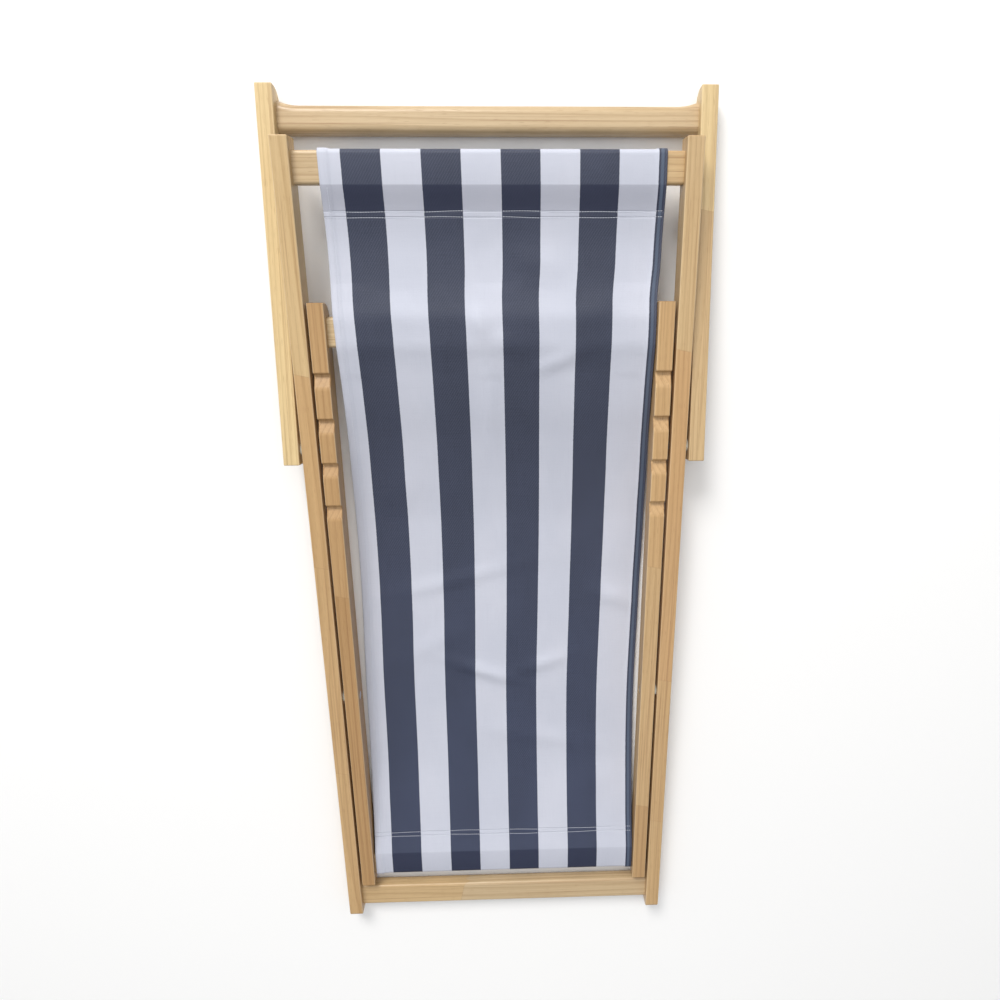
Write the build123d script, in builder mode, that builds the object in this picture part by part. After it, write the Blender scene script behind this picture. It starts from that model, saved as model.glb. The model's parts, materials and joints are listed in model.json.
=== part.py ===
"""Folding deckchair: a long frame, a notched frame, a prop frame and a cloth sling.

The chair is modelled folded and lying on its back, sling side up. Along the chair, distances run from the
feet of the long frame (0) towards its head. Heights run from the back of the rails towards the sitter.
+X is the chair's right, +Y points to the head, +Z is up, and the floor is Z = 0.
"""

import os
from math import asin, atan2, cos, degrees, hypot, radians, sin

from build123d import *

os.makedirs("parts", exist_ok=True)

# ---- Driving dimensions, millimetres ----

# Timber
rail_wide = 22.0  # rail thickness, across the chair
rail_deep = 34.0  # rail depth, back to front
bar_thick = 22.0  # crossbar thickness, flush with the back of the rails
bar_tall = 40.0  # crossbar height, along the chair
arris = 1.5  # sanded edge of every rail and crossbar
pivot_height = rail_deep / 2

# Long frame
long_half = 270.0  # centre line to outer face
long_length = 1228.0
foot_corner = 6.0
foot_bar_at = 32.0  # crossbar centres along the chair
head_bar_at = 1192.5

# Notched frame, inside the long frame
side_gap = 4.0
notched_half = long_half - rail_wide - side_gap
knee_end = 66.0
ground_end = 1029.0
ground_corner = 24.0  # rounded back corner that stands on the ground
knee_bar_at = 100.0
rear_bar_at = 990.0
notch_steps = [749.0, 811.5, 874.0, 936.5]
notch_depth = 6.5
notch_floor = 4.0
notch_ramp = 16.0
notch_round = 3.0  # inside corner of each notch and the lip above it
notch_ease = 14.0  # where the ramp runs out into the front of the rail

# Prop frame, outside the long frame
prop_half = long_half + side_gap + rail_wide
prop_tilt = -6.5  # the folded prop frame leans behind the head end
prop_tail = 21.4  # pivot to lower end
prop_reach = 466.0  # pivot to far end
prop_corner = 25.0  # rounded back corner of the far end
prop_bar_near = 410.5
prop_bar_far = 445.0
prop_bar_flare = 5.5  # the bar rises this much at its ends, outside the notched rails
prop_bar_flat = 246.0  # half of the straight stretch that sits in the notches
prop_bar_round = 10.0

# Pivots: a sleeve nut from the inner side and a flat-headed bolt from the outer side
cross_pivot_at = 430.0
prop_pivot_at = 830.0
sleeve_radius = 4.0
thread_radius = 3.0
head_radius = 7.0
head_thick = 2.4
recess_deep = 3.0
recess_radius = 7.3
running = 0.06  # radial clearance of a turning rail on its sleeve
fixed = 0.03  # radial clearance of a clamped part
end_play = 0.1
spacer_radius = 9.0
slot_wide = 1.2  # screwdriver slot across each bolt head
slot_long = 9.0
blind_end = 6.0  # the sleeve's thread stops this far from the nut's head
bolt_short = 10.0  # the bolt is this much shorter than the sleeve

# Joints in the frames: two glued dowels and one countersunk screw at each end of each crossbar
dowel_radius = 4.0
dowel_spread = 12.0
dowel_in_rail = 14.0
dowel_in_bar = 26.0
screw_radius = 2.0
screw_head = 4.5
screw_length = 50.0
glue_room = 1.0  # left at the end of each dowel and screw hole

# Sling
sling_half = 218.5
cloth = 1.6
pocket_gap = 0.4
stitch_from_fold = 78.0
stitch_height = 15.0
pocket_hem = 6.0  # the pocket's two layers lie together over this much, up to the stitches
sling_line = [
    (1100.0, 11.5),
    (1060.0, 13.5),
    (1030.0, 18.5),
    (1010.0, 22.9),
    (1003.0, 23.5),
    (977.0, 23.5),
    (970.0, 22.9),
    (955.0, 19.8),
    (890.0, 8.5),
    (830.0, -5.0),
    (768.0, -15.5),
    (700.0, -21.6),
    (630.0, -21.9),
    (565.0, -19.4),
    (480.0, -15.6),
    (383.0, -11.0),
    (290.0, -4.5),
    (215.0, 6.0),
]

# ---- How the chair lies: both feet and the far end of the prop frame touch the floor ----

prop_centre = (prop_reach - prop_corner, prop_corner - pivot_height)
centre_along = (
    prop_pivot_at
    + prop_centre[0] * cos(radians(prop_tilt))
    - prop_centre[1] * sin(radians(prop_tilt))
)
centre_height = (
    pivot_height
    + prop_centre[0] * sin(radians(prop_tilt))
    + prop_centre[1] * cos(radians(prop_tilt))
)
rise = centre_height - foot_corner
run = centre_along - foot_corner
lie = atan2(-rise, run) + asin((prop_corner - foot_corner) / hypot(rise, run))
lift = foot_corner - foot_corner * (sin(lie) + cos(lie))
overall = prop_pivot_at * cos(lie) + prop_reach * cos(radians(prop_tilt) + lie) - pivot_height * sin(lie)

chair = Plane(origin=(0, -overall / 2, lift), x_dir=(1, 0, 0), z_dir=(0, -sin(lie), cos(lie)))


def side_plane(x, along=0.0, height=0.0, turn=0.0):
    """Plane across the chair at x: its X runs to the head, turned by turn degrees, its Y to the sitter."""
    heading = chair.y_dir * cos(radians(turn)) + chair.z_dir * sin(radians(turn))
    spot = chair.from_local_coords(Vector(x, along, height))
    return Plane(origin=spot, x_dir=heading, z_dir=chair.x_dir)


def prop_plane(x):
    """The same plane for the prop frame, with its origin on the prop pivot."""
    return side_plane(x, prop_pivot_at, pivot_height, prop_tilt)


def save(piece, name):
    """Label a finished piece and write its file."""
    piece.label = name
    export_step(piece, f"parts/{name}.step")


SIDES = {"left": -1, "right": 1}


def ends(centre, thick_mid):
    """The three fixing places of a crossbar end: lower dowel, screw, upper dowel."""
    return [(centre - dowel_spread, thick_mid), (centre, thick_mid), (centre + dowel_spread, thick_mid)]


def bore(plane, spot, radius, depth):
    """Cut a round hole of the given depth from plane at spot, into the part being built."""
    with BuildSketch(plane) as outline:
        with Locations(spot):
            Circle(radius)
    extrude(outline.sketch, amount=depth, mode=Mode.SUBTRACT)


def fixing_holes(side, half, bars, plane_at):
    """Dowel and screw holes of the crossbars named by bars, in one rail whose outer face is at half."""
    inner = side * (half - rail_wide)
    outer = side * half
    for low, middle, high in bars:
        for spot in (low, high):
            bore(plane_at(inner), spot, dowel_radius, side * dowel_in_rail)
        bore(plane_at(inner), middle, screw_radius, side * rail_wide)
        bore(plane_at(outer), middle, screw_head, -side * recess_deep)


def pivot_bore(side, face, spot, plane_at, radius, through, recess_from=None):
    """Through hole for a sleeve, with a flat recess for the hardware's head where one is given."""
    bore(plane_at(side * face), spot, radius, side * through)
    if recess_from is not None:
        inward = side if recess_from == face else -side
        bore(plane_at(side * recess_from), spot, recess_radius, inward * recess_deep)


# ---- Long frame: two long rails, head rail and foot rail ----

bar_mid = bar_thick / 2
long_bars = [ends(foot_bar_at, bar_mid), ends(head_bar_at, bar_mid)]

for name, side in SIDES.items():
    inner = side * (long_half - rail_wide)
    with BuildPart() as long_rail:
        with BuildSketch(side_plane(inner)):
            with Locations((long_length / 2, rail_deep / 2)):
                Rectangle(long_length, rail_deep)
            fillet(vertices().group_by(Axis.X)[0], foot_corner)
        extrude(amount=side * rail_wide)
        fillet(long_rail.edges(), arris)
        fixing_holes(side, long_half, long_bars, side_plane)
        spot = (cross_pivot_at, pivot_height)
        pivot_bore(side, long_half - rail_wide, spot, side_plane, sleeve_radius + fixed, rail_wide, long_half)
        spot = (prop_pivot_at, pivot_height)
        pivot_bore(
            side, long_half - rail_wide, spot, side_plane, sleeve_radius + fixed, rail_wide, long_half - rail_wide
        )
    save(long_rail.part, f"long_rail_{name}")


def crossbar(half, centre, plane_at):
    """A rectangular crossbar between two rails, with the dowel and screw holes in its ends."""
    with BuildPart() as bar:
        with BuildSketch(plane_at(-half)):
            with Locations((centre, bar_mid)):
                Rectangle(bar_tall, bar_thick)
        extrude(amount=2 * half)
        fillet(bar.edges().filter_by(Axis.X), 3 * arris)
        low, middle, high = ends(centre, bar_mid)
        for side in SIDES.values():
            for spot in (low, high):
                bore(plane_at(side * half), spot, dowel_radius, -side * dowel_in_bar)
            bore(plane_at(side * half), middle, screw_radius, -side * (screw_length - rail_wide))
    return bar.part


long_inner = long_half - rail_wide
save(crossbar(long_inner, head_bar_at, side_plane), "head_rail")
save(crossbar(long_inner, foot_bar_at, side_plane), "foot_rail")

# ---- Notched frame: two notched rails, rear rail and knee rail ----

notched_bars = [ends(knee_bar_at, bar_mid), ends(rear_bar_at, bar_mid)]

for name, side in SIDES.items():
    inner = side * (notched_half - rail_wide)
    with BuildPart() as notched_rail:
        with BuildSketch(side_plane(inner)):
            with Locations(((knee_end + ground_end) / 2, rail_deep / 2)):
                Rectangle(ground_end - knee_end, rail_deep)
            fillet(vertices().group_by(Axis.X)[-1].sort_by(Axis.Y)[0], ground_corner)
            for step in notch_steps:
                Polygon(
                    (step, rail_deep),
                    (step, rail_deep - notch_depth),
                    (step - notch_floor, rail_deep - notch_depth),
                    (step - notch_floor - notch_ramp, rail_deep),
                    align=None,
                    mode=Mode.SUBTRACT,
                )
            for step in notch_steps:
                ramp_top = step - notch_floor - notch_ramp
                fillet(vertices().filter_by(lambda corner: abs(corner.X - step) < 0.01), notch_round)
                fillet(vertices().filter_by(lambda corner: abs(corner.X - ramp_top) < 0.01), notch_ease)
        extrude(amount=side * rail_wide)
        fillet(notched_rail.faces().filter_by(Axis.X).edges(), arris)
        fixing_holes(side, notched_half, notched_bars, side_plane)
        spot = (cross_pivot_at, pivot_height)
        pivot_bore(
            side,
            notched_half - rail_wide,
            spot,
            side_plane,
            sleeve_radius + running,
            rail_wide,
            notched_half - rail_wide,
        )
    save(notched_rail.part, f"notched_rail_{name}")

notched_inner = notched_half - rail_wide
save(crossbar(notched_inner, rear_bar_at, side_plane), "rear_rail")
save(crossbar(notched_inner, knee_bar_at, side_plane), "knee_rail")

# ---- Prop frame: two short rails and the bar that drops into the notches ----

prop_bar_mid = bar_mid - pivot_height
prop_fixings = ends((prop_bar_near + prop_bar_far) / 2, prop_bar_mid)

for name, side in SIDES.items():
    inner = side * (prop_half - rail_wide)
    with BuildPart() as prop_rail:
        with BuildSketch(prop_plane(inner)):
            with Locations(((prop_reach - prop_tail) / 2, 0)):
                Rectangle(prop_reach + prop_tail, rail_deep)
            fillet(vertices().group_by(Axis.X)[-1].sort_by(Axis.Y)[0], prop_corner)
        extrude(amount=side * rail_wide)
        fillet(prop_rail.edges(), arris)
        fixing_holes(side, prop_half, [prop_fixings], prop_plane)
        pivot_bore(side, prop_half - rail_wide, (0, 0), prop_plane, sleeve_radius + running, rail_wide, prop_half)
    save(prop_rail.part, f"prop_rail_{name}")

prop_inner = prop_half - rail_wide
flare_run = prop_inner - prop_bar_flat
prop_side = prop_plane(0)
prop_face = Plane(origin=prop_side.origin, x_dir=chair.x_dir, z_dir=prop_side.y_dir)

with BuildPart() as prop_bar:
    with BuildSketch(prop_face.offset(-pivot_height)):
        with BuildLine():
            far_edge = Line((-prop_bar_flat, prop_bar_far), (prop_bar_flat, prop_bar_far))
            right = TangentArc(far_edge @ 1, (prop_inner, prop_bar_far + prop_bar_flare), tangent=(1, 0))
            left = TangentArc(far_edge @ 0, (-prop_inner, prop_bar_far + prop_bar_flare), tangent=(-1, 0))
            Polyline(right @ 1, (prop_inner, prop_bar_near), (-prop_inner, prop_bar_near), left @ 1)
        make_face()
    extrude(amount=bar_thick)
    lengthwise = prop_bar.edges().filter_by(lambda edge: edge.length > flare_run - 1)
    by_reach = lengthwise.filter_by(lambda edge: abs(edge.tangent_at(0.5).Y) < 0.5).group_by(
        Axis(prop_side.origin, prop_side.x_dir), tol_digits=0
    )
    fillet(by_reach[0], 3 * arris)
    fillet([edge for group in by_reach[1:] for edge in group], prop_bar_round)
    low, middle, high = prop_fixings
    for side in SIDES.values():
        for spot in (low, high):
            bore(prop_plane(side * prop_inner), spot, dowel_radius, -side * dowel_in_bar)
        bore(prop_plane(side * prop_inner), middle, screw_radius, -side * (screw_length - rail_wide))
save(prop_bar.part, "prop_bar")


# ---- Dowels and screws of the three frames ----


def dowels(half, bars, plane_at):
    """All glued dowels of one frame, each half in a rail and half in a crossbar end."""
    inner = half - rail_wide
    with BuildPart() as group:
        for side in SIDES.values():
            for low, _, high in bars:
                with BuildSketch(plane_at(side * (inner - dowel_in_bar + glue_room))):
                    with Locations(low, high):
                        Circle(dowel_radius)
                extrude(amount=side * (dowel_in_bar + dowel_in_rail - 2 * glue_room))
        chamfer(group.edges().filter_by(GeomType.CIRCLE), glue_room)
    return group.part


def screws(half, bars, plane_at):
    """One countersunk screw through each rail into each crossbar end, its head below the surface."""
    with BuildPart() as group:
        for side in SIDES.values():
            for _, middle, _ in bars:
                with BuildSketch(plane_at(side * (half - recess_deep))):
                    with Locations(middle):
                        Circle(screw_head)
                extrude(amount=side * head_thick)
                with BuildSketch(plane_at(side * (half - recess_deep))):
                    with Locations(middle):
                        Circle(screw_radius)
                extrude(amount=-side * (screw_length - recess_deep - glue_room))
    return group.part


frames = {
    "long": (long_half, long_bars, side_plane),
    "notched": (notched_half, notched_bars, side_plane),
    "prop": (prop_half, [prop_fixings], prop_plane),
}
for name, (half, bars, plane_at) in frames.items():
    save(dowels(half, bars, plane_at), f"{name}_frame_dowels")
    save(screws(half, bars, plane_at), f"{name}_frame_screws")


# ---- Pivots: sleeve nut, bolt and spacer on each side ----


def pivot_set(name, spot, inner_face, outer_face, gap_from):
    """The three kinds of hardware of one pivot line, both sides, and their files."""
    nut_seat = inner_face + recess_deep - end_play
    bolt_seat = outer_face - recess_deep + end_play
    with BuildPart() as nuts:
        for side in SIDES.values():
            with BuildSketch(side_plane(side * nut_seat)):
                with Locations(spot):
                    Circle(head_radius)
            extrude(amount=-side * head_thick)
            with BuildSketch(side_plane(side * nut_seat)):
                with Locations(spot):
                    Circle(sleeve_radius)
            extrude(amount=side * (bolt_seat - nut_seat))
            bore(side_plane(side * bolt_seat), spot, thread_radius + fixed, -side * (bolt_seat - nut_seat - blind_end))
    save(nuts.part, f"{name}_pivot_nuts")
    with BuildPart() as bolts:
        for side in SIDES.values():
            with BuildSketch(side_plane(side * bolt_seat)):
                with Locations(spot):
                    Circle(head_radius)
                    Rectangle(slot_wide, slot_long, mode=Mode.SUBTRACT)
            extrude(amount=side * head_thick)
            with BuildSketch(side_plane(side * bolt_seat)):
                with Locations(spot):
                    Circle(head_radius)
            extrude(amount=side * head_thick / 2)
            with BuildSketch(side_plane(side * bolt_seat)):
                with Locations(spot):
                    Circle(thread_radius)
            extrude(amount=-side * (bolt_seat - nut_seat - bolt_short))
    save(bolts.part, f"{name}_pivot_bolts")
    with BuildPart() as spacers:
        for side in SIDES.values():
            with BuildSketch(side_plane(side * gap_from)):
                with Locations(spot):
                    Circle(spacer_radius)
                    Circle(sleeve_radius + running, mode=Mode.SUBTRACT)
            extrude(amount=side * (side_gap - end_play))
    save(spacers.part, f"{name}_pivot_spacers")


pivot_set(
    "cross", (cross_pivot_at, pivot_height), notched_half - rail_wide, long_half, notched_half + end_play
)
pivot_set("prop", (prop_pivot_at, pivot_height), long_half - rail_wide, prop_half, long_half)

# ---- Sling: one strip of cloth with a sewn pocket round the head rail and one round the knee rail ----


with BuildPart() as sling:
    with BuildSketch(side_plane(-sling_half)):
        for centre, away in ((head_bar_at, -1), (knee_bar_at, 1)):
            clear = pocket_gap + cloth
            fold = centre - away * (bar_tall / 2 + clear)
            mouth = centre + away * (bar_tall / 2 + clear)
            stitch = fold + away * stitch_from_fold
            Polygon(
                (fold, -clear),
                (fold, bar_thick + clear),
                (mouth, bar_thick + clear),
                (stitch, stitch_height + cloth / 2),
                (stitch, stitch_height - cloth / 2),
                (mouth, -clear),
                align=None,
            )
            Polygon(
                (fold + away * cloth, cloth - clear),
                (fold + away * cloth, bar_thick + clear - cloth),
                (mouth, bar_thick + clear - cloth),
                (stitch - away * pocket_hem, stitch_height),
                (mouth - away * cloth, cloth - clear),
                align=None,
                mode=Mode.SUBTRACT,
            )
    extrude(amount=2 * sling_half)
    with BuildSketch(side_plane(-sling_half)):
        head_stitch = head_bar_at + bar_tall / 2 + pocket_gap + cloth - stitch_from_fold
        knee_stitch = knee_bar_at - bar_tall / 2 - pocket_gap - cloth + stitch_from_fold
        line = [
            (head_stitch, stitch_height),
            *sling_line,
            (knee_stitch, stitch_height),
        ]
        half_cloth = cloth / 2
        with BuildLine():
            upper = Spline([(along, height + half_cloth) for along, height in line])
            lower = Spline([(along, height - half_cloth) for along, height in line])
            Line(upper @ 0, lower @ 0)
            Line(upper @ 1, lower @ 1)
        make_face()
    extrude(amount=2 * sling_half)
save(sling.part, "sling")

print("lies at", round(degrees(lie), 3), "degrees; length", round(overall, 1))
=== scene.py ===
"""A folding deckchair with a striped canvas sling, folded flat and lying on a pale studio floor."""

import json
import math

import bpy
import numpy as np
from mathutils import Matrix, Vector


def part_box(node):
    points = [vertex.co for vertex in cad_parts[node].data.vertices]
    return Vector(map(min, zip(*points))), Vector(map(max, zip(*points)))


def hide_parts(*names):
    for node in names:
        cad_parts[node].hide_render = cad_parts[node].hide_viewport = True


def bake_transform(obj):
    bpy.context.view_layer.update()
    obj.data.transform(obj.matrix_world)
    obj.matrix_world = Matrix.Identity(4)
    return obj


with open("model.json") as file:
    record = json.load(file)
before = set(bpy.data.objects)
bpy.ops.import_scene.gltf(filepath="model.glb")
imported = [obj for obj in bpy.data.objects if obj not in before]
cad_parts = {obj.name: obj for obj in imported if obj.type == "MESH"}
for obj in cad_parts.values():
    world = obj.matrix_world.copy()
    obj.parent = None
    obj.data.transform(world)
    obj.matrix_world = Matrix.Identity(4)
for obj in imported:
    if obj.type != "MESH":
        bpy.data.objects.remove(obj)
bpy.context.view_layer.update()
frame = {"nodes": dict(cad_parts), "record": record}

# ---- How the chair lies ----
# Both pivots lie on the middle line of the long rails, so the line through them is the way that the rails
# run, from the feet to the head. Places on the chair are given across it, along the rails from the feet,
# and in front of the rails' backs.

pivots = {joint["name"]: Vector(joint["pos_m"]) for joint in frame["record"]["behaviour"]["joints"]}
CROSS_PIVOT_ALONG = 0.430
RAIL_DEEP = 0.034
uphill = (pivots["prop"] - pivots["fold"]).normalized()
forward = Vector((1, 0, 0)).cross(uphill)
lie = math.atan2(uphill.z, uphill.y)


def on_chair(across, along, height):
    """The point of the row frame at a place on the chair."""
    from_pivot = uphill * (along - CROSS_PIVOT_ALONG) + forward * (height - RAIL_DEEP / 2)
    return pivots["fold"] + Vector((across, 0, 0)) + from_pivot


# ---- Camera, floor and lights ----
# The camera is held over the head end of the chair and looks down on it. The floor is matt white paper. A
# large soft box past the head gives the light, and the sky is brighter on that side. Two weak soft boxes,
# overhead and past the feet, fill the shadows.

CAMERA_PLACE = (0.0220, 1.07544, 1.06744)
CAMERA_PAN, CAMERA_TILT, CAMERA_ROLL = 0.03368, 0.32638, 0.00316
CAMERA_LENS = 27.087
CAMERA_SHIFT = (-0.03614, 0.01956)

camera = bpy.data.objects.new("camera", bpy.data.cameras.new("camera"))
bpy.context.scene.collection.objects.link(camera)
camera.location = on_chair(*CAMERA_PLACE)
camera.rotation_euler = (
    Matrix.Rotation(lie, 3, "X")
    @ Matrix.Rotation(-CAMERA_PAN, 3, "Y")
    @ Matrix.Rotation(-CAMERA_TILT, 3, "X")
    @ Matrix.Rotation(-CAMERA_ROLL, 3, "Z")
).to_euler()
camera.data.sensor_width = 36
camera.data.lens = CAMERA_LENS
camera.data.shift_x, camera.data.shift_y = CAMERA_SHIFT
camera.data.clip_start = 0.05
bpy.context.scene.camera = camera

FLOOR_WIDE = 14
paper_white = (0.95, 0.945, 0.94, 1)
bpy.ops.object.select_all(action="DESELECT")
bpy.ops.mesh.primitive_plane_add(size=FLOOR_WIDE)
floor = bpy.context.object
floor.name = "floor"
paper = bpy.data.materials.new("paper_floor")
paper.use_nodes = True
paper_surface = paper.node_tree.nodes["Principled BSDF"]
paper_surface.inputs["Base Color"].default_value = paper_white
paper_surface.inputs["Roughness"].default_value = 0.9
floor.data.materials.append(paper)

SKY_DIM, SKY_BRIGHT = 0.16, 0.72
BRIGHT_SIDE = (-0.1, 0.72, 0.69)
daylight = (0.97, 0.985, 1.0, 1)
world = bpy.data.worlds.new("studio")
bpy.context.scene.world = world
world.use_nodes = True
sky = world.node_tree
direction = sky.nodes.new("ShaderNodeTexCoord")
towards_head = sky.nodes.new("ShaderNodeVectorMath")
towards_head.operation = "DOT_PRODUCT"
towards_head.inputs[1].default_value = BRIGHT_SIDE
glow = sky.nodes.new("ShaderNodeMapRange")
glow.inputs["From Min"].default_value = -0.5
glow.inputs["From Max"].default_value = 0.95
glow.inputs["To Min"].default_value = SKY_DIM
glow.inputs["To Max"].default_value = SKY_BRIGHT
sky.links.new(direction.outputs["Generated"], towards_head.inputs[0])
sky.links.new(towards_head.outputs["Value"], glow.inputs["Value"])
sky.links.new(glow.outputs["Result"], sky.nodes["Background"].inputs["Strength"])
sky.nodes["Background"].inputs["Color"].default_value = daylight

bpy.context.scene.view_settings.view_transform = "Standard"


def soft_box(name, place, size, power, colour):
    """A square area light of this many metres and watts at a place, aimed at the middle of the chair."""
    light = bpy.data.objects.new(name, bpy.data.lights.new(name, "AREA"))
    light.data.size = size
    light.data.energy = power
    light.data.color = colour
    light.location = place
    light.rotation_euler = (Vector(place) - on_chair(0, 0.65, 0)).to_track_quat("Z", "Y").to_euler()
    bpy.context.scene.collection.objects.link(light)


soft_box("window", (-1.5, 4.6, 3.5), 2.0, 250, (1.0, 0.985, 0.96))
soft_box("overhead", (0.2, 1.1, 2.9), 1.9, 13, (1.0, 1.0, 1.0))
soft_box("fill", (0.1, -1.9, 2.6), 1.9, 12, (1.0, 1.0, 1.0))

# ---- Timber of the rails and crossbars ----
# Every rail and bar is planed pale softwood, finger-jointed from shorter lengths that differ a little in
# tone, sanded at its edges and given two thin coats of clear varnish. Each board is cut from its own place
# in a log: the growth rings run round a pith that lies beside the board.


class Channel:
    """One output of a shader node, which can be added, multiplied and raised like a number."""

    def __init__(self, finish, socket):
        self.finish, self.socket = finish, socket

    def math(self, operation, *others):
        values = dict(enumerate([self, *others]))
        return self.finish.add("ShaderNodeMath", {"operation": operation}, values)

    def __add__(self, other):
        return self.math("ADD", other)

    def __sub__(self, other):
        return self.math("SUBTRACT", other)

    def __mul__(self, other):
        return self.math("MULTIPLY", other)

    def __truediv__(self, other):
        return self.math("DIVIDE", other)

    def __pow__(self, other):
        return self.math("POWER", other)

    def __radd__(self, other):
        return self.math("ADD", other)

    def __rmul__(self, other):
        return self.math("MULTIPLY", other)

    def __rsub__(self, other):
        return self.finish.add("ShaderNodeMath", {"operation": "SUBTRACT"}, {0: other, 1: self})

    def size(self):
        return self.math("ABSOLUTE")

    def wrapped(self):
        return self.math("FRACT")

    def ramp(self, low, high):
        """0 at low and under, 1 at high and over, with a soft start and end."""
        return self.finish.add(
            "ShaderNodeMapRange",
            {"interpolation_type": "SMOOTHSTEP"},
            {"Value": self, "From Min": low, "From Max": high},
        )


class Finish:
    """A material as it is mixed: add() makes its nodes, and coat() ends it with the surface shader."""

    def __init__(self, name):
        self.material = bpy.data.materials.new(name)
        self.material.use_nodes = True
        self.tree = self.material.node_tree
        self.tree.nodes.clear()

    def add(self, kind, settings=None, sockets=None, output=0):
        node = self.tree.nodes.new(kind)
        for name, value in (settings or {}).items():
            setattr(node, name, value)
        for name, value in (sockets or {}).items():
            if isinstance(value, Channel):
                self.tree.links.new(value.socket, node.inputs[name])
            else:
                node.inputs[name].default_value = value
        return None if output is None else Channel(self, node.outputs[output])

    def split(self, vector):
        """The three parts of a vector."""
        return [self.add("ShaderNodeSeparateXYZ", sockets={0: vector}, output=axis) for axis in range(3)]

    def stretched(self, vector, scale):
        return self.add("ShaderNodeVectorMath", {"operation": "MULTIPLY"}, {0: vector, 1: scale})

    def noise(self, vector, scale, detail=2.0, output="Factor"):
        output = {"Factor": 0, "Color": 1}[output]
        sockets = {"Vector": vector, "Scale": scale, "Detail": detail}
        return self.add("ShaderNodeTexNoise", sockets=sockets, output=output)

    def mix(self, factor, first, second):
        """A colour between two others."""
        settings = {"data_type": "RGBA", "clamp_factor": True}
        return self.add("ShaderNodeMix", settings, {0: factor, 6: first, 7: second}, output=2)

    def bump(self, height, distance, strength=1.0, under=None):
        sockets = {"Height": height, "Distance": distance, "Strength": strength}
        if under:
            sockets["Normal"] = under
        return self.add("ShaderNodeBump", sockets=sockets)

    def coat(self, **sockets):
        """The surface shader, with what each named socket gets."""
        names = {name.replace("_", " "): value for name, value in sockets.items()}
        surface = self.add("ShaderNodeBsdfPrincipled", sockets=names)
        self.add("ShaderNodeOutputMaterial", sockets={"Surface": surface}, output=None)
        return self.material


def srgb(red, green, blue):
    """A shader colour from the 0 to 255 values that a colour chart gives."""
    linear = [((v / 255 + 0.055) / 1.055) ** 2.4 for v in (red, green, blue)]
    return (*linear, 1)


RING_APART = 0.0052
RINGS_STRAY = 0.03
FINGER_LONG = 0.010
FINGER_WIDE = 0.0056
JOINT_SLANT = 0.2
GLUE_THIN, GLUE_WIDE = 0.0002, 0.0007
VARNISH_ROUGH = 0.42
GRAIN_DEEP = 0.00022

# how often each pattern changes in a metre of board: across, along and through it
BENDS = (7, 1.1, 7)
CLOUDS = (16, 3.2, 16)
FLAMES = (55, 2.2, 55)
STREAKS = (330, 2.6, 330)
FIBRES = (620, 9, 620)
SHORT_FIBRES = (1500, 70, 1500)
PORES = (1900, 60, 1900)

# what the board's tone is multiplied by in the early and the late wood of a year, and in warmer heartwood
EARLY_WOOD = (1.09, 1.10, 1.12)
LATE_WOOD = (0.74, 0.66, 0.56)
WARM_WOOD = (1.02, 0.95, 0.86)
pore = srgb(138, 94, 54)
worn_edge = srgb(236, 214, 176)


def turned(turn):
    """The rotation that a Mapping node makes with these three angles."""
    about_x, about_y, about_z = (Matrix.Rotation(angle, 3, axis) for angle, axis in zip(turn, "XYZ"))
    return about_z @ about_y @ about_x


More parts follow.
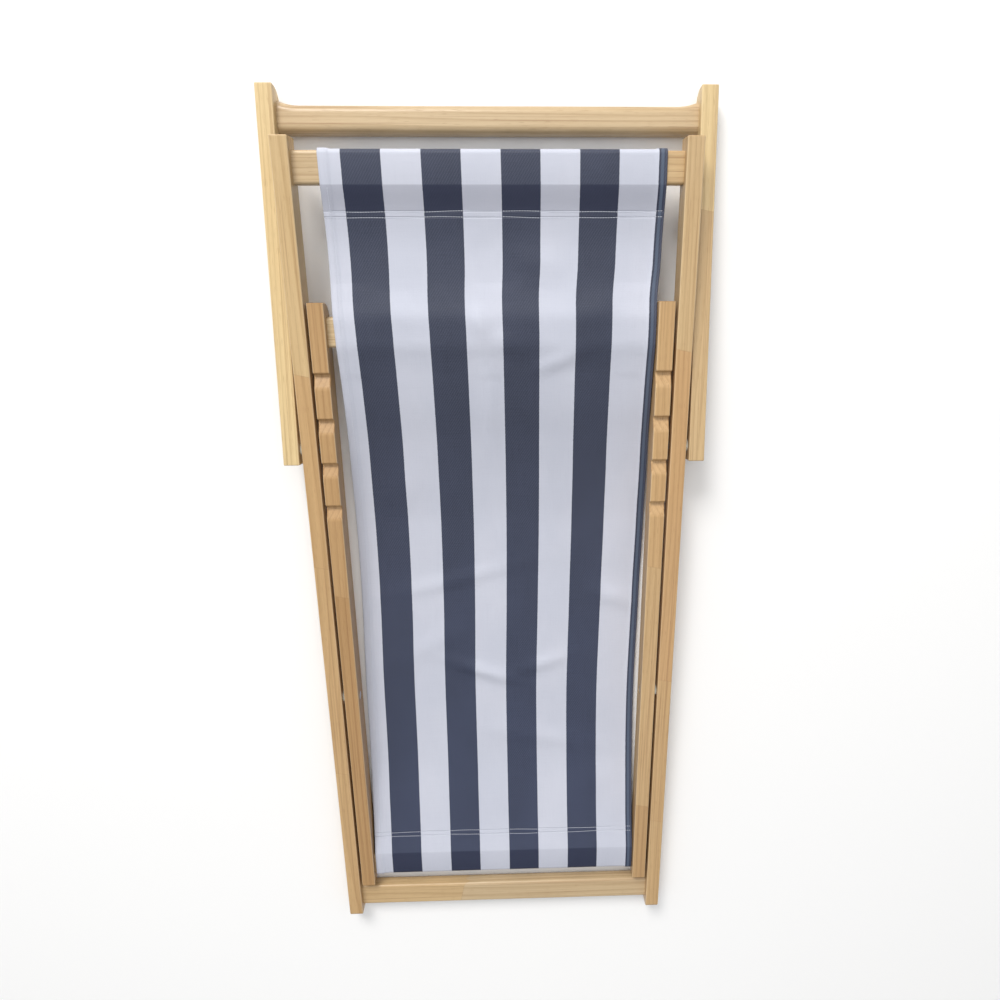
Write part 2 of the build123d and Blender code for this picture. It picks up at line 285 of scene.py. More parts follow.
def timber(node, section, turn, pith, tones, seed, joints=()):
    """Give a board its own wood. Section is its size across and through, turn its rotation, and pith the
    middle of the log across and through. The board is made up of lengths that meet at the joints, and
    tones has a colour for each length."""
    low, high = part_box(node)
    wood = Finish(f"{node}_wood")
    place = wood.add("ShaderNodeTexCoord", output="Object")
    settings = {"vector_type": "TEXTURE"}
    centre = (Vector(low) + Vector(high)) / 2
    local = wood.add("ShaderNodeMapping", settings, {"Vector": place, "Location": centre, "Rotation": turn})
    across, along, through = wood.split(local)

    def pattern(scale, detail, output="Factor"):
        return wood.noise(wood.stretched(local, scale), 1.0, detail, output)

    # which length of the board a point is in, with the fingers' zigzag seen from the side
    zigzag = (through / FINGER_WIDE).math("PINGPONG", 1.0) * FINGER_LONG
    to_joint = along + zigzag + across * JOINT_SLANT
    length_number = along * 0 + seed
    glue_line = along * 0
    tone = wood.mix(0.0, tones[0], tones[0])
    for joint, next_tone in zip(joints, tones[1:]):
        past = to_joint.math("GREATER_THAN", joint)
        length_number = length_number + past
        tone = wood.mix(past, tone, next_tone)
        glue_line = glue_line + (1 - (to_joint - joint).size().ramp(GLUE_THIN, GLUE_WIDE))
    luck = wood.add("ShaderNodeTexWhiteNoise", {"noise_dimensions": "1D"}, {"W": length_number})

    # growth rings, each pale early wood that darkens into late wood and ends sharply
    shift_x, shift_z, _ = wood.split(pattern(BENDS, 1.0, "Color"))
    from_pith_x = across - pith[0] + (shift_x - 0.5) * RINGS_STRAY + (luck - 0.5) * 0.02
    from_pith_z = through - pith[1] + (shift_z - 0.5) * RINGS_STRAY
    radius = (from_pith_x * from_pith_x + from_pith_z * from_pith_z) ** 0.5
    year = (radius / RING_APART + luck * 5.0).wrapped()
    late = (year**3.5) * (1 - year.ramp(0.88, 1.0))

    # slow changes of tone, dark resin streaks, fibres and pores
    cloud = pattern(CLOUDS, 2.0)
    flame = pattern(FLAMES, 2.0)
    streaks = pattern(STREAKS, 1.0).ramp(0.57, 0.68)
    fibre = pattern(FIBRES, 3.0)
    short_fibre = pattern(SHORT_FIBRES, 2.0)
    pores = pattern(PORES, 0.0).ramp(0.70, 0.80)

    # how near the surface is to the board's long edges, and where it is cut across the grain
    edge_x = across.size() / (section[0] / 2)
    edge_z = through.size() / (section[1] / 2)
    edge = edge_x.math("MINIMUM", edge_z).ramp(0.86, 1.0)
    facing = wood.add("ShaderNodeTexCoord", output="Normal")
    lengthwise = turned(turn) @ Vector((0, 1, 0))
    sockets = {0: facing, 1: lengthwise}
    turned_to_end = wood.add("ShaderNodeVectorMath", {"operation": "DOT_PRODUCT"}, sockets, output="Value")
    end_grain = turned_to_end.size().ramp(0.6, 0.95)

    # the colours, from the whole board's tone to its edges
    warm = (cloud * 0.7 + luck * 0.4 - 0.3).ramp(0.0, 0.8)
    tone = wood.mix(warm * 0.7, tone, wood.stretched(tone, WARM_WOOD))
    pale = wood.stretched(tone, EARLY_WOOD)
    dark = wood.stretched(tone, LATE_WOOD)
    shade = late * 0.64 + (fibre - 0.5) * 0.75 + (short_fibre - 0.5) * 0.35 + (flame - 0.5) * 0.75 + 0.14
    colour = wood.mix(shade, pale, dark)
    colour = wood.mix(pores * (1 - end_grain) * 0.35, colour, pore)
    colour = wood.mix(streaks * (1 - end_grain) * 0.30, colour, pore)
    colour = wood.mix(glue_line * 0.22, colour, pore)
    colour = wood.mix(end_grain * 0.42, colour, pore)
    colour = wood.mix(edge * (0.25 + 0.5 * cloud), colour, worn_edge)

    rough = VARNISH_ROUGH + (cloud - 0.5) * 0.16 + end_grain * 0.25 + (short_fibre - 0.5) * 0.12
    relief = fibre * 0.5 + short_fibre * 0.3 - pores * 0.6 + late * 0.25
    frame["nodes"][node].material_slots[0].material = wood.coat(
        Base_Color=colour,
        Roughness=rough,
        Normal=wood.bump(relief, GRAIN_DEEP, 0.55),
        Coat_Weight=0.16,
        Coat_Roughness=0.22,
        Coat_IOR=1.5,
    )


# ---- Long frame: two long rails, head rail and foot rail ----
# The long rails carry both pivots, the head rail holds the top of the sling and the foot rail braces the
# feet. The crossbars are doweled between the rails, flush with their backs.

# a rail's and a crossbar's sizes across and through, and how the boards are turned
RAIL, CROSSBAR = (0.022, RAIL_DEEP), (0.040, 0.022)
along_rails = (lie, 0, 0)
across_chair = (0, -lie, math.pi / 2)
honey = srgb(192, 157, 110)
deep_honey = srgb(192, 155, 109)
pale_honey = srgb(193, 160, 114)
light_honey = srgb(195, 166, 122)
crown = srgb(200, 173, 128)
sand = srgb(194, 170, 133)

left_tones = (pale_honey, honey, honey, crown)
left_joints = (-0.31, 0.05, 0.33)
timber("long_rail_left", RAIL, along_rails, (0.030, -0.070), left_tones, 3.0, left_joints)
right_tones = (pale_honey, honey, deep_honey, light_honey)
right_joints = (-0.42, -0.15, 0.36)
timber("long_rail_right", RAIL, along_rails, (-0.042, 0.060), right_tones, 11.0, right_joints)
timber("head_rail", CROSSBAR, across_chair, (0.055, -0.050), (light_honey, sand), 21.0, (0.02,))
timber("foot_rail", CROSSBAR, across_chair, (-0.030, -0.065), (sand, light_honey), 34.0, (0.074,))

# ---- Notched frame: two notched rails, rear rail and knee rail ----
# The notched rails turn inside the long rails. Their four notches take the prop bar, the knee rail holds
# the bottom of the sling, and the rear rail joins the ends that stand on the ground.

amber = srgb(181, 145, 99)
dark_amber = srgb(173, 135, 88)
cream = srgb(208, 184, 144)

notched_left_tones = (dark_amber, amber)
timber("notched_rail_left", RAIL, along_rails, (-0.050, -0.048), notched_left_tones, 41.0, (0.07,))
notched_right_tones = (amber, pale_honey, honey)
timber("notched_rail_right", RAIL, along_rails, (0.045, -0.052), notched_right_tones, 55.0, (-0.321, 0.11))
timber("rear_rail", CROSSBAR, across_chair, (0.040, 0.060), (light_honey, cream), 62.0, (0.06,))
timber("knee_rail", CROSSBAR, across_chair, (0.045, 0.050), (light_honey, sand), 73.0, (0.10,))

# ---- Prop frame: two short rails and the prop bar ----
# The prop frame hangs outside the long rails and leans a little behind them when the chair is folded. Its
# bar is shaped with a flare at both ends and has well-rounded edges, where it rests in the notches.

PROP_LEAN = math.radians(-6.5)
along_prop = (lie + PROP_LEAN, 0, 0)
across_prop = (0, -lie - PROP_LEAN, math.pi / 2)
straw = srgb(212, 188, 140)

timber("prop_rail_left", RAIL, along_prop, (0.050, 0.052), (straw,), 81.0)
timber("prop_rail_right", RAIL, along_prop, (-0.036, 0.062), (light_honey, straw), 97.0, (0.10,))
timber("prop_bar", CROSSBAR, across_prop, (-0.048, -0.040), (sand,), 104.0)

# ---- Dowels, screws and pivot hardware ----
# The dowels are plain beech, glued into the joints out of sight. The screws, bolts and sleeve nuts are
# turned steel with a bright zinc plating, and the washers that keep the frames apart are natural nylon.

PROP_PIVOT_ALONG = 0.830
BEECH_FIBRES = (12, 700, 700)
TOOL_MARKS = 9000
SCUFF_DEEP = 0.00005

beech = Finish("beech_dowel")
beech_place = beech.add("ShaderNodeTexCoord", output="Object")
beech_fibre = beech.noise(beech.stretched(beech_place, BEECH_FIBRES), 1.0, 3.0)
beech_colour = beech.mix(beech_fibre, srgb(214, 176, 128), srgb(176, 132, 88))
beech_relief = beech.bump(beech_fibre, 0.0002, 0.5)
beech_wood = beech.coat(Base_Color=beech_colour, Roughness=0.62, Normal=beech_relief)
for node in ("long_frame_dowels", "notched_frame_dowels", "prop_frame_dowels"):
    frame["nodes"][node].material_slots[0].material = beech_wood


def zinc_plated(node, axis_along):
    """Turned steel: fine rings round the axis, a faint blue and yellow tint of the plating, and scuffs."""
    zinc = Finish(f"{node}_zinc")
    axis = on_chair(0, axis_along, RAIL_DEEP / 2)
    place = zinc.add("ShaderNodeTexCoord", output="Object")
    _, beside, above = zinc.split(zinc.add("ShaderNodeMapping", sockets={"Vector": place, "Location": -axis}))
    from_axis = (beside * beside + above * above) ** 0.5
    rings = (from_axis * TOOL_MARKS).math("SINE")
    scuff = zinc.noise(place, 420, 4.0)
    stain = zinc.noise(place, 90, 2.0)
    colour = zinc.mix(stain.ramp(0.35, 0.65), srgb(196, 200, 208), srgb(208, 203, 186))
    colour = zinc.mix(scuff.ramp(0.62, 0.75) * 0.5, colour, srgb(132, 132, 134))
    rough = 0.24 + scuff * 0.22
    relief = zinc.bump(rings * 0.4 + scuff, SCUFF_DEEP, 0.6)
    finish = zinc.coat(Base_Color=colour, Metallic=1.0, Roughness=rough, Normal=relief)
    frame["nodes"][node].material_slots[0].material = finish


for part in ("bolts", "nuts"):
    zinc_plated(f"cross_pivot_{part}", CROSS_PIVOT_ALONG)
    zinc_plated(f"prop_pivot_{part}", PROP_PIVOT_ALONG)
for part in ("long", "notched", "prop"):
    zinc_plated(f"{part}_frame_screws", CROSS_PIVOT_ALONG)

nylon = Finish("natural_nylon")
nylon_place = nylon.add("ShaderNodeTexCoord", output="Object")
nylon_cloud = nylon.noise(nylon_place, 160, 3.0)
nylon_colour = nylon.mix(nylon_cloud, srgb(232, 229, 217), srgb(214, 209, 192))
nylon_relief = nylon.bump(nylon_cloud, 0.0001, 0.4)
washer_nylon = nylon.coat(
    Base_Color=nylon_colour, Roughness=0.42 + nylon_cloud * 0.1, Normal=nylon_relief, Subsurface_Weight=0.15
)
for node in ("cross_pivot_spacers", "prop_pivot_spacers"):
    frame["nodes"][node].material_slots[0].material = washer_nylon

# ---- Sling: the cloth ----
# One strip of woven canvas with 50 mm stripes. Its sides are hemmed, its ends are turned under and sewn
# back on themselves round the head rail and the knee rail, and between them it hangs over the rear rail.

CANVAS_WIDE = 0.437
HEM_TURN = 0.0115
HEM_SLOPE_AT, HEM_SLOPE_WIDE = 0.002, 0.0035
CLOTH_THICK = 0.0012
FOLD_ROUND = 0.00065
LAYER = 0.00125
FRONT_OF_BAR, BACK_OF_BAR = 0.0229, -0.0011
BAR_EDGE_ROUND = 0.0045
CLOTH_ROUND_BAR = 0.0056
HEAD_RAIL_AT, KNEE_RAIL_AT = 1.1925, 0.100

# where the seam of each pocket starts and ends along the rails, and the points that the cloth hangs
# through, as places along the rails and heights of the middle of the cloth
HEAD_STACK, KNEE_STACK = (1.144, 1.131), (0.149, 0.162)
hanging = [
    (1.171, 0.0229), (1.1365, 0.0150), (1.100, 0.0115), (1.060, 0.0136), (1.030, 0.0186), (1.011, 0.0228),
    (1.004, 0.0235), (0.976, 0.0235), (0.969, 0.0228), (0.955, 0.0198), (0.890, 0.0085), (0.830, -0.0050),
    (0.768, -0.0155), (0.700, -0.0214), (0.630, -0.0217), (0.565, -0.0192), (0.480, -0.0154),
    (0.383, -0.0108), (0.290, -0.0044), (0.215, 0.0060), (0.1564, 0.0150), (0.1215, 0.0229),
]


def smooth_through(points):
    """A curve through the points that never swings past them: the heights at any places along it."""
    points = np.array(sorted(points))
    at, value = points[:, 0], points[:, 1]
    step = np.diff(value) / np.diff(at)
    slope = np.zeros(len(at))
    same_way = step[:-1] * step[1:] > 0
    slope[1:-1][same_way] = 2 * (step[:-1] * step[1:])[same_way] / (step[:-1] + step[1:])[same_way]
    slope[0], slope[-1] = step[0], step[-1]

    def height(where):
        where = np.clip(where, at[0], at[-1])
        first = np.clip(np.searchsorted(at, where) - 1, 0, len(at) - 2)
        second = first + 1
        long = at[second] - at[first]
        share = (where - at[first]) / long
        rest = 1 - share
        from_first = (1 + 2 * share) * rest**2 * value[first] + share * rest**2 * long * slope[first]
        from_second = share**2 * (3 - 2 * share) * value[second] - share**2 * rest * long * slope[second]
        return from_first + from_second

    return height


hang = smooth_through(hanging)


def bend(centre, side, round_by, first, last, count):
    """Points of a bend round a centre, from one angle to another."""
    angles = np.linspace(first, last, count)
    along = centre[0] + side * round_by * np.cos(angles)
    return list(zip(along, centre[1] + round_by * np.sin(angles)))


def stacked(place, layers_down):
    """A point in the seam of a pocket, this many layers behind the front of the cloth."""
    return (place, float(hang(np.array(place))) - layers_down * LAYER)


def pocket(head_side, bar_at):
    """One end of the strip, from its turned edge round the back of a bar to the bar's front."""
    side = 1 if head_side else -1
    inner, outer = HEAD_STACK if head_side else KNEE_STACK
    low = bar_at - side * CROSSBAR[0] / 2
    near = bar_at + side * CROSSBAR[0] / 2 - side * BAR_EDGE_ROUND
    back_centre, front_centre = (near, BAR_EDGE_ROUND), (near, CROSSBAR[1] - BAR_EDGE_ROUND)
    turned_edge = [stacked(inner + (outer - inner) * k / 4, 1) for k in range(4)]
    half_turn = bend(stacked(outer, 1.5), side, LAYER / 2, math.pi / 2, math.pi * 3 / 2, 6)
    back_layer = [stacked(outer + (inner - outer) * k / 3, 2) for k in range(1, 4)]
    to_bar = [(low - side * 0.008, 0.0010), (low, BACK_OF_BAR)]
    back_bend = bend(back_centre, side, CLOTH_ROUND_BAR, -math.pi / 2, 0, 7)
    front_bend = bend(front_centre, side, CLOTH_ROUND_BAR, 0, math.pi / 2, 7)
    on_front = [(low, FRONT_OF_BAR)]
    return [*turned_edge, *half_turn, *back_layer, *to_bar, *back_bend, *front_bend, *on_front]


middle = [(place, float(hang(np.array(place)))) for place in np.arange(1.166, 0.127, -0.006)]
route = np.array([*pocket(True, HEAD_RAIL_AT), *middle, *pocket(False, KNEE_RAIL_AT)[::-1]])
hops = np.hypot(*np.diff(route, axis=0).T)
strip_at = np.concatenate([[0], np.cumsum(hops)])
CANVAS_LONG = float(strip_at[-1])
way = np.gradient(route, strip_at, axis=0)
way /= np.linalg.norm(way, axis=1)[:, None]

# the finished width and the middle of the strip vary a little along the chair as it hangs
width_along = smooth_through([
    (0.05, 0.4390), (0.101, 0.4390), (0.213, 0.4362), (0.397, 0.4325), (0.574, 0.4320), (0.707, 0.4336),
    (0.772, 0.4334), (0.836, 0.4307), (0.896, 0.4295), (0.980, 0.4309), (1.030, 0.4330), (1.081, 0.4372),
    (1.154, 0.4386), (1.22, 0.4386),
])
middle_along = smooth_through([
    (0.05, 0.0006), (0.101, 0.0008), (0.213, 0.0), (0.397, -0.0005), (0.574, 0.0028), (0.707, 0.0046),
    (0.836, 0.0050), (0.980, 0.0046), (1.030, 0.0038), (1.081, 0.0054), (1.154, 0.0056), (1.22, 0.0050),
])

# soft creases: across, along, half sizes across and along, turn and lift
creases = [
    (-0.022, 1.000, 0.012, 0.022, 0.3, 0.0042), (0.012, 0.978, 0.016, 0.012, -0.6, 0.0020),
    (0.084, 0.950, 0.032, 0.010, 0.35, 0.0030), (-0.012, 0.880, 0.013, 0.070, 0.05, 0.0030),
    (0.140, 1.020, 0.030, 0.020, 0.4, 0.0015), (-0.130, 1.015, 0.030, 0.020, -0.4, 0.0015),
    (-0.070, 0.610, 0.100, 0.012, 0.25, 0.0026), (0.175, 0.578, 0.034, 0.014, -0.35, 0.0034),
    (-0.110, 0.500, 0.060, 0.018, 0.5, 0.0020), (-0.030, 0.452, 0.055, 0.010, -0.35, 0.0046),
    (0.064, 0.462, 0.050, 0.012, 0.3, 0.0032), (0.060, 0.330, 0.090, 0.016, -0.2, 0.0022),
    (-0.150, 0.760, 0.050, 0.030, 0.7, 0.0022), (0.070, 0.800, 0.016, 0.090, 0.1, 0.0018),
    (-0.030, 1.115, 0.030, 0.014, 0.6, 0.0018), (0.050, 1.085, 0.040, 0.020, -0.5, 0.0020),
    (0.160, 0.250, 0.040, 0.030, 0.4, 0.0018), (-0.170, 0.230, 0.030, 0.040, -0.2, 0.0018),
]

# where the cloth hangs free of its pockets, how it waves where it is low, and how its edges lift there
FREE_FROM, FREE_TO, FREE_EASE = 0.165, 1.128, 0.05
SLACK_WAVE, SLACK_BELOW = 0.0005, 0.015
EDGE_LIFT, EDGE_LIFT_BELOW, EDGE_LIFT_EASE = 0.0022, 0.012, 0.02


def cloth_points(across, strip):
    """Where points of the flat strip lie on the chair: across its middle and along it from the head end."""
    half = CANVAS_WIDE / 2
    along = np.interp(strip, strip_at, route[:, 0])
    height = np.interp(strip, strip_at, route[:, 1])
    out_along = np.interp(strip, strip_at, way[:, 1])
    out_height = -np.interp(strip, strip_at, way[:, 0])
    beyond = np.maximum(np.abs(across) - half, 0)
    folded = np.minimum(beyond / FOLD_ROUND, math.pi)
    under = np.maximum(beyond - math.pi * FOLD_ROUND, 0)
    from_middle = np.minimum(np.abs(across), half) + FOLD_ROUND * np.sin(folded) - under
    slope = np.clip((np.abs(across) - half + HEM_TURN + HEM_SLOPE_AT) / HEM_SLOPE_WIDE, 0, 1)
    rise = LAYER * slope**2 * (3 - 2 * slope) - FOLD_ROUND * (1 - np.cos(folded))

    # creases, slack and lifted edges, in the cloth that hangs free of the pockets
    free = np.clip((along - FREE_FROM) / FREE_EASE, 0, 1) * np.clip((FREE_TO - along) / FREE_EASE, 0, 1)
    for x, y, half_wide, half_long, turn, lift in creases:
        over_crease = (across - x) * math.cos(turn) + (along - y) * math.sin(turn)
        up_crease = (along - y) * math.cos(turn) - (across - x) * math.sin(turn)
        rise = rise + free * lift * np.exp(-((over_crease / half_wide) ** 2) - (up_crease / half_long) ** 2)
    slack = np.sin(across * 31 + along * 5) + 0.6 * np.sin(across * 67 - along * 9 + 1.3)
    rise = rise + free * SLACK_WAVE * slack * (height < SLACK_BELOW)
    near_edge = np.clip((np.abs(across) / half - 0.8) / 0.2, 0, 1) ** 2
    rise = rise + free * near_edge * EDGE_LIFT * np.clip((EDGE_LIFT_BELOW - height) / EDGE_LIFT_EASE, 0, 1)

    side = middle_along(along) + np.sign(across) * from_middle * width_along(along) / CANVAS_WIDE
    place = np.array(pivots["fold"])[None] + np.outer(side, (1, 0, 0))
    place = place + np.outer(along + rise * out_along - CROSS_PIVOT_ALONG, uphill)
    return place + np.outer(height + rise * out_height - RAIL_DEEP / 2, forward)


# the flat cut, a grid with closer columns at its hems and rows at its folds, is laid round the bars
OPEN_HALF, OPEN_COLUMNS, EVEN_ROWS, ROWS_APART = 0.198, 70, 60, 0.0003
hem_columns = np.array([0, 0.0006, 0.0012, 0.0020, 0.0060, HEM_TURN]) + CANVAS_WIDE / 2
ridge_columns = np.array([0.0005, 0.0070, 0.0110, 0.0125, 0.0140])
edge_columns = np.concatenate([CANVAS_WIDE / 2 - ridge_columns, hem_columns])
open_columns = np.linspace(-OPEN_HALF, OPEN_HALF, OPEN_COLUMNS)
columns = np.sort(np.concatenate([open_columns, edge_columns, -edge_columns]))
rows = np.unique(np.round(np.concatenate([strip_at, np.linspace(0, CANVAS_LONG, EVEN_ROWS)]), 5))
rows = rows[np.concatenate([[True], np.diff(rows) > ROWS_APART])]

bpy.ops.object.select_all(action="DESELECT")
bpy.ops.mesh.primitive_grid_add(x_subdivisions=len(columns) - 1, y_subdivisions=len(rows) - 1, size=1)
canvas = bpy.context.object
canvas.name = "canvas_sling"
grid = np.zeros(len(canvas.data.vertices) * 3)
canvas.data.vertices.foreach_get("co", grid)
grid = grid.reshape(-1, 3)
column_of = np.rint((grid[:, 0] + 0.5) * (len(columns) - 1)).astype(int)
row_of = np.rint((0.5 - grid[:, 1]) * (len(rows) - 1)).astype(int)
cut_across, cut_along = columns[column_of], rows[row_of]
canvas.data.vertices.foreach_set("co", cloth_points(cut_across, cut_along).ravel())

# the flat cut is the cloth's own map, in metres, so weave and stripes follow the folds
for layer in list(canvas.data.uv_layers):
    canvas.data.uv_layers.remove(layer)
cut = canvas.data.uv_layers.new(name="cut")
corner = np.zeros(len(canvas.data.loops), int)
canvas.data.loops.foreach_get("vertex_index", corner)
cut.data.foreach_set("uv", np.stack([cut_across, cut_along], axis=1)[corner].ravel())
canvas.data.update()

thickness = canvas.modifiers.new("thickness", "SOLIDIFY")
thickness.thickness = CLOTH_THICK
thickness.offset = 0
bpy.ops.object.modifier_apply(modifier="thickness")
bpy.ops.object.shade_smooth_by_angle(angle=math.radians(60))

# ---- Sling: the weave ----
# Plain weave of solution-dyed yarn, navy and cool white. The weft shows as paler flecks in the navy, the
# yarn has slubs, and the cloth is puckered along every row of stitches, with a little painted shade in the
# puckers.

STRIPE = 0.050
FIRST_STRIPE = -0.1913
STRIPE_WAVER = 0.0009
YARN = 0.00105
WEAVE_DEEP, PUCKER_DEEP = 0.00022, 0.0006
HEAD_ROWS_AT, KNEE_ROWS_AT = (1.1412, 1.1342), (0.1592, 0.1522)
HEM_ROW_IN, HEM_HIGHLIGHT_IN, HEM_FOLD_IN = 0.0078, 0.0052, 0.0005
PUCKER_FROM, PUCKER_TO = 0.0004, 0.0016

# how often each pattern changes in a metre of cloth, across and along it
WAVERS = (60, 900, 1)
WARP_SLUBS = (950, 22, 1)
WEFT_SLUBS = (22, 950, 1)
FADES = (9, 5, 1)
FLECKS = (700, 700, 1)
TWILL = 1750


def strip_place(along):
    """How far along the strip a place on the chair's front is."""
    between = slice(len(pocket(True, HEAD_RAIL_AT)) - 1, -len(pocket(False, KNEE_RAIL_AT)) + 1)
    return float(np.interp(-along, -route[between, 0], strip_at[between]))


def between_places(value, first, last):
    """1 from first to last, with an edge a millimetre wide at both."""
    return value.ramp(first - 0.0005, first + 0.0005) * (1 - value.ramp(last - 0.0005, last + 0.0005))


head_rows = [strip_place(along) for along in HEAD_ROWS_AT]
knee_rows = [strip_place(along) for along in KNEE_ROWS_AT]
weave = Finish("striped_canvas")
cut_map = weave.add("ShaderNodeUVMap", {"uv_map": "cut"})
cloth_x, cloth_y, _ = weave.split(cut_map)


def on_cut(scale, detail):
    return weave.noise(weave.stretched(cut_map, scale), 1.0, detail)


def from_line(inside):
    """How far the cloth is from a line that runs this far inside the edge of either hem."""
    return (cloth_x.size() - (CANVAS_WIDE / 2 - inside)).size()


# stripes, and yarns that pass over and under each other
wobble = on_cut(WAVERS, 2.0)
stripe = ((cloth_x + (wobble - 0.5) * STRIPE_WAVER - FIRST_STRIPE) / (2 * STRIPE)).wrapped()
navy_share = (0.25 - (stripe - 0.25).size()).ramp(-0.004, 0.004)
warp, weft = cloth_x / YARN, cloth_y / YARN
over = ((warp.math("FLOOR") + weft.math("FLOOR")) / 2).wrapped().math("GREATER_THAN", 0.25)
warp_round = (warp.wrapped() * math.pi).math("SINE")
weft_round = (weft.wrapped() * math.pi).math("SINE")
yarn_round = warp_round * over + weft_round * (1 - over)
slubs = (on_cut(WARP_SLUBS, 2.0) - 0.5) + (on_cut(WEFT_SLUBS, 2.0) - 0.5)
twill = ((cloth_x + cloth_y * 0.62) * TWILL).math("SINE")
fade = on_cut(FADES, 3.0)
fleck = on_cut(FLECKS, 1.0).ramp(0.55, 0.75)

# the two colours, with the yarn below showing through and slubs
navy = weave.mix(fade.ramp(0.3, 0.7), srgb(36, 42, 62), srgb(44, 50, 71))
navy = weave.mix((1 - over) * 0.16 + fleck * 0.14 + (twill + 1) * 0.075, navy, srgb(104, 110, 130))
navy = weave.mix(slubs * 0.9, navy, srgb(26, 30, 48))
white = weave.mix(fade.ramp(0.3, 0.7), srgb(197, 200, 213), srgb(204, 206, 218))
white = weave.mix((1 - over) * 0.10 + fleck * 0.12, white, srgb(172, 175, 190))
white = weave.mix(slubs * 0.55, white, srgb(178, 181, 195))

# painted shade darkens the cloth below the head rail, where it is doubled and slopes away from the light, and
# over the front of the knee rail, where it is stretched and lit less; the navy is bluer towards the feet, and
# a painted highlight makes the navy paler in the middle of each hem, where its raised fold catches the light
HEAD_SHADE_AT = (1.1725, 1.1425)
KNEE_SHADE_AT, KNEE_SHADE_LONG = 0.1225, 0.046
knee_shade_from = strip_place(KNEE_SHADE_AT)
shade_below_head_rail = between_places(cloth_y, *[strip_place(along) for along in HEAD_SHADE_AT])
shade_over_knee_rail = between_places(cloth_y, knee_shade_from, knee_shade_from + KNEE_SHADE_LONG)
hem_ridge_highlight = 1 - from_line(HEM_HIGHLIGHT_IN).ramp(0.0012, 0.0028)
bluer = (cloth_y / CANVAS_LONG).ramp(0.25, 0.85)
navy = weave.mix(bluer * 0.5, navy, weave.stretched(navy, (0.96, 1.08, 1.30)))
# painted shade in the navy, in the band below the head rail and the band over the knee rail
navy = weave.mix(shade_below_head_rail * 0.72 + shade_over_knee_rail * 0.66, navy, srgb(18, 26, 56))
# painted highlight on the navy along the raised middle of each hem
navy = weave.mix(hem_ridge_highlight * 0.45, navy, srgb(104, 120, 142))
# the same painted shade in the white
white = weave.mix(shade_below_head_rail * 0.36 + shade_over_knee_rail * 0.12, white, srgb(128, 128, 142))

# the thread pulls the cloth in along its rows, where painted shade darkens the puckers a little, and the
# folds at the sides are worn paler
pucker_and_shade = (1 - from_line(HEM_ROW_IN).ramp(PUCKER_FROM, PUCKER_TO)) * 0.3
for row in (*head_rows, *knee_rows):
    pucker_and_shade = pucker_and_shade + (1 - (cloth_y - row).size().ramp(PUCKER_FROM, PUCKER_TO))
edge_wear = (1 - from_line(HEM_FOLD_IN).ramp(0.0, 0.0022)) * 0.12
canvas_colour = weave.mix(navy_share, white, navy)
# painted shade in the puckered grooves along the stitch rows
canvas_colour = weave.mix(pucker_and_shade * 0.03, canvas_colour, srgb(60, 62, 78))
canvas_colour = weave.mix(edge_wear, canvas_colour, srgb(150, 155, 170))
woven = weave.bump(yarn_round * 0.6 + slubs * 0.5, WEAVE_DEEP, 0.7)
canvas_cloth = weave.coat(
    Base_Color=canvas_colour,
    Roughness=0.50 + (fade - 0.5) * 0.1,
    Normal=weave.bump(1 - pucker_and_shade, PUCKER_DEEP, 0.8, woven),
    Sheen_Weight=0.04,
    Sheen_Roughness=0.45,
    Specular_IOR_Level=0.45,
)
canvas.data.materials.clear()
canvas.data.materials.append(canvas_cloth)

# ---- Sling: the stitches ----
# Lockstitch in thick polyester thread: two white rows across each pocket, a white row down the left hem
# and a navy one down the right. Every stitch is a short plump thread that dives into the cloth at its ends.

THREAD_ROUND = 0.00042
THREAD_PROUD = 0.35
THREAD_DIVE = 0.0004
STITCH_LONG = 0.0034
STITCH_GAP = 0.0004
stitch_size = (STITCH_LONG / 2 - STITCH_GAP / 2, THREAD_ROUND, THREAD_ROUND)


def sewing_thread(name, light, dark):
    """Twisted polyester thread in two shades."""
    thread = Finish(name)
    place = thread.add("ShaderNodeTexCoord", output="Object")
    twist = thread.noise(place, 1400, 2.0)
    return thread.coat(
        Base_Color=thread.mix(twist, light, dark),
        Roughness=0.5 + twist * 0.15,
        Normal=thread.bump(twist, 0.0001, 0.5),
        Sheen_Weight=0.2,
    )


white_thread = sewing_thread("white_thread", srgb(222, 225, 234), srgb(180, 184, 198))
navy_thread = sewing_thread("navy_thread", srgb(52, 58, 78), srgb(30, 34, 52))

bpy.ops.object.select_all(action="DESELECT")
bpy.ops.mesh.primitive_uv_sphere_add(segments=6, ring_count=7, radius=1)
one_stitch = bpy.context.object
bpy.ops.object.mode_set(mode="EDIT")
bpy.ops.mesh.select_all(action="SELECT")
bpy.ops.transform.rotate(value=math.pi / 2, orient_axis="Y", center_override=(0, 0, 0))
bpy.ops.transform.resize(value=stitch_size, center_override=(0, 0, 0))
bpy.ops.object.mode_set(mode="OBJECT")
stitch_shape = np.array([vertex.co for vertex in one_stitch.data.vertices])
stitch_shape[:, 2] -= (stitch_shape[:, 0] / (STITCH_LONG / 2)) ** 2 * THREAD_DIVE
stitch_faces = [tuple(face.vertices) for face in one_stitch.data.polygons]
bpy.data.objects.remove(one_stitch)


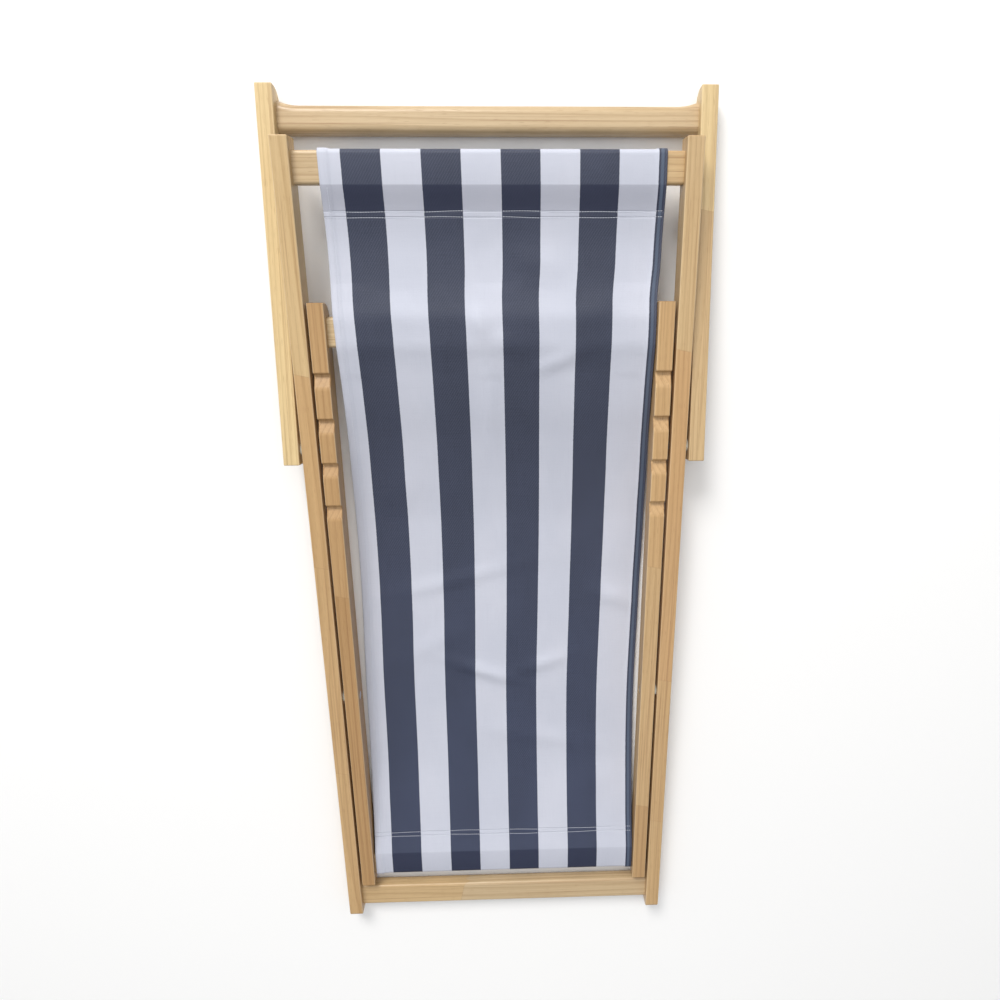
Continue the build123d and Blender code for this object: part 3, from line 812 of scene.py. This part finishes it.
def seam(name, places, heading, thread):
    """A row of stitches on the cloth, as one piece. The places are on the flat cut, and the heading is
    the way that the row runs there."""
    here, heading = np.array(places), np.array(heading)

    def over_cloth(step):
        """Which way the cloth goes for a step on the flat cut."""
        return cloth_points(*(here + step).T) - cloth_points(*(here - step).T)

    ahead = over_cloth(heading * STITCH_LONG / 2)
    ahead /= np.linalg.norm(ahead, axis=1)[:, None]
    up = np.cross(over_cloth(heading[::-1] * (1, -1) * 0.001), ahead)
    up *= np.sign(up @ np.array(forward))[:, None]
    up /= np.linalg.norm(up, axis=1)[:, None]
    beside = np.cross(up, ahead)
    centre = cloth_points(*here.T) + up * (CLOTH_THICK / 2 + THREAD_ROUND * THREAD_PROUD)
    points = (
        centre[:, None]
        + ahead[:, None] * stitch_shape[None, :, :1]
        + beside[:, None] * stitch_shape[None, :, 1:2]
        + up[:, None] * stitch_shape[None, :, 2:]
    ).reshape(-1, 3)
    count = len(stitch_shape)
    faces = [tuple(v + k * count for v in face) for k in range(len(here)) for face in stitch_faces]
    mesh = bpy.data.meshes.new(name)
    mesh.from_pydata(points.tolist(), [], faces)
    stitches = bpy.data.objects.new(name, mesh)
    bpy.context.scene.collection.objects.link(stitches)
    bpy.ops.object.select_all(action="DESELECT")
    stitches.select_set(True)
    bpy.context.view_layer.objects.active = stitches
    bpy.ops.object.mode_set(mode="EDIT")
    bpy.ops.mesh.select_all(action="SELECT")
    bpy.ops.mesh.normals_make_consistent(inside=False)
    bpy.ops.object.mode_set(mode="OBJECT")
    bpy.ops.object.shade_smooth()
    stitches.data.materials.append(thread)
    return stitches


def wavering(row, across):
    """A row that is guided by hand under the needle wanders a little."""
    return row + 0.0007 * math.sin(across * 23 + row * 90) + 0.0004 * math.sin(across * 71 + row * 300)


ROW_FROM, ROW_TO = -0.2165, 0.2170
HEM_ROW_FROM, HEM_ROW_TO = 1.168, 0.125
across_places = np.arange(ROW_FROM, ROW_TO, STITCH_LONG)
head_stitches = [(x, wavering(row, x)) for row in head_rows for x in across_places]
knee_stitches = [(x, wavering(row, x)) for row in knee_rows for x in across_places]
head_seam = seam("head_pocket_stitches", head_stitches, (1, 0), white_thread)
knee_seam = seam("knee_pocket_stitches", knee_stitches, (1, 0), white_thread)
hem_places = np.arange(strip_place(HEM_ROW_FROM), strip_place(HEM_ROW_TO), STITCH_LONG)
hem_seams = []
for side, name, thread in ((-1, "left", white_thread), (1, "right", navy_thread)):
    hem_stitches = [(side * (CANVAS_WIDE / 2 - HEM_ROW_IN), place) for place in hem_places]
    hem_seams.append(seam(f"{name}_hem_stitches", hem_stitches, (0, 1), thread))

# ---- Sling: set in place ----
# The cloth and its stitches are fixed where they were made, and the model's own sling is hidden.

for piece in (canvas, head_seam, knee_seam, *hem_seams):
    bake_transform(piece)
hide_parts("sling")
